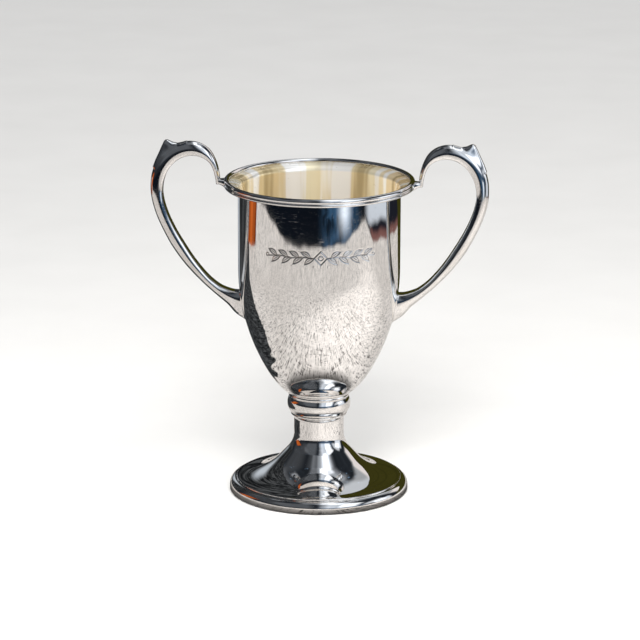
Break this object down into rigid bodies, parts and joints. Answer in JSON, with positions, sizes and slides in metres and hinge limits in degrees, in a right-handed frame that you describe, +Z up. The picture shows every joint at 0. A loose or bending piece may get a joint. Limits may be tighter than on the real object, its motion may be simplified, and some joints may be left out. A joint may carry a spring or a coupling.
{
  "type": "cup trophy",
  "caption": "Tall handled silver trophy cup with a rolled rim, ear-shaped handles with thumb-pieces, a crowned collar and a trumpet foot.",
  "frame": {"origin": "centre of the ring that the foot rests on, in its resting plane", "axes": "+Z up along the cup's axis, +X towards one handle, +Y across the handles"},
  "size_m": [0.1414, 0.0798, 0.1507],
  "materials": {
    "silver_body": "polished silver sheet with fine hairline scratches; warm parcel gilding inside the bowl",
    "silver_moulding": "polished silver mouldings, faint tarnish in the grooves",
    "silver_cast": "cast and polished silver, softened edges",
    "brass_hardware": "turned brass, dull",
    "plated_hardware": "plain steel spring washer"
  },
  "bodies": {
    "root": {"bowl": "silver_body", "rim_roll": "silver_moulding", "rim_bead": "silver_moulding", "handle_left": "silver_cast", "handle_right": "silver_cast", "bowl_boss": "brass_hardware", "collar": "silver_moulding", "neck_bead": "silver_moulding", "foot": "silver_body", "base_moulding": "silver_moulding", "tie_stud": "brass_hardware", "dished_washer": "brass_hardware", "lock_washer": "plated_hardware", "hex_nut": "brass_hardware"}
  },
  "joints": []
}
